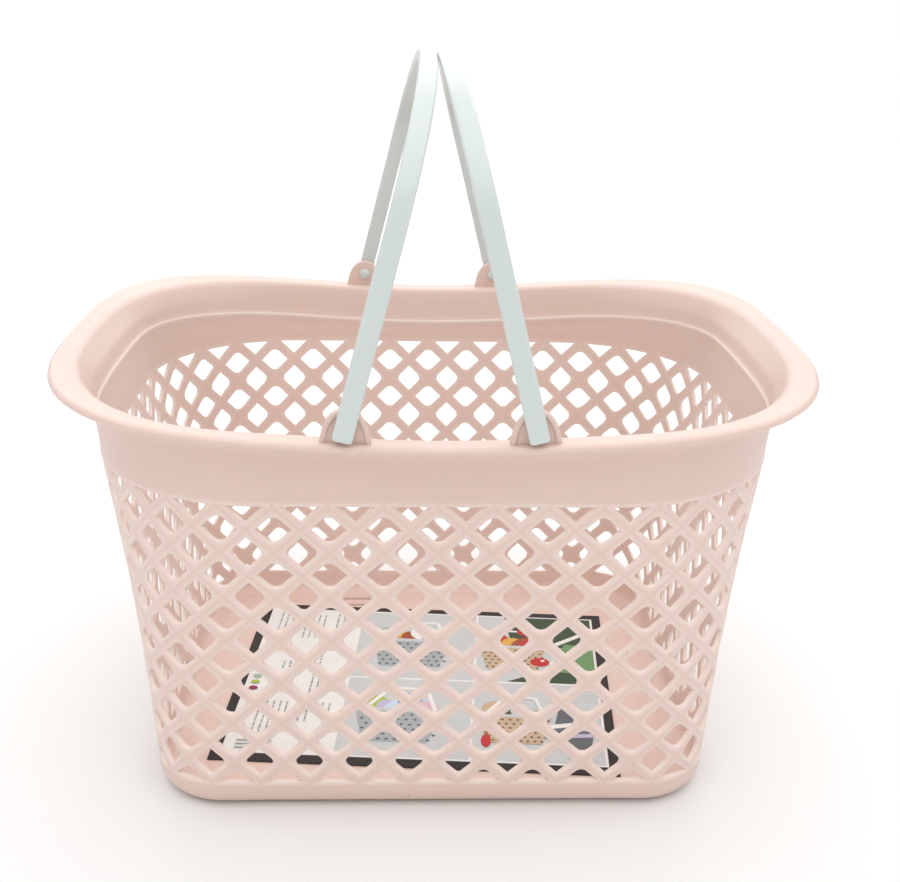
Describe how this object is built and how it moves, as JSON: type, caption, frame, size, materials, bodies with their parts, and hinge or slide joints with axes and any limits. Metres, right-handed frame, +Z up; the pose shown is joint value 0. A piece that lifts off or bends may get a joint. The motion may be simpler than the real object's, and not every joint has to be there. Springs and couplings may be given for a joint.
{
  "type": "shopping basket",
  "caption": "Tapered moulded hand basket with a lattice wall, a saddle-shaped rim, swinging bail handles and a printed card on its floor.",
  "frame": {"origin": "middle of the flat underside, on the surface the basket stands on", "axes": "+Z up, +X towards the right-hand end of the long direction, the front long side faces -Y; the handle hinges run along Y"},
  "size_m": [0.383, 0.3148, 0.3644],
  "materials": {
    "tub_plastic": "satin moulded polypropylene, pale pink",
    "handle_plastic": "semi-gloss moulded plastic, white with a faint mint tint",
    "printed_card": "laminated printed card, black border and grey picture panels"
  },
  "bodies": {
    "basket": {"floor_plate": "tub_plastic", "base_band": "tub_plastic", "lattice_front": "tub_plastic", "lattice_front_right": "tub_plastic", "lattice_right": "tub_plastic", "lattice_back_right": "tub_plastic", "lattice_back": "tub_plastic", "lattice_back_left": "tub_plastic", "lattice_left": "tub_plastic", "lattice_front_left": "tub_plastic", "upper_band": "tub_plastic", "rim_lip": "tub_plastic", "ear_front_left": "tub_plastic", "ear_back_left": "tub_plastic", "ear_front_right": "tub_plastic", "ear_back_right": "tub_plastic", "card_insert": "printed_card"},
    "left_bail": {"left_handle": "handle_plastic"},
    "right_bail": {"right_handle": "handle_plastic"}
  },
  "joints": [
    {"name": "left_handle_swing", "type": "hinge", "parent": "basket", "child": "left_bail", "pos_m": [-0.0415, 0, 0.2168], "axis": [0, 1, 0], "range_deg": [-100, 0]},
    {"name": "right_handle_swing", "type": "hinge", "parent": "basket", "child": "right_bail", "pos_m": [0.0415, 0, 0.2168], "axis": [0, 1, 0], "range_deg": [0, 100]}
  ]
}
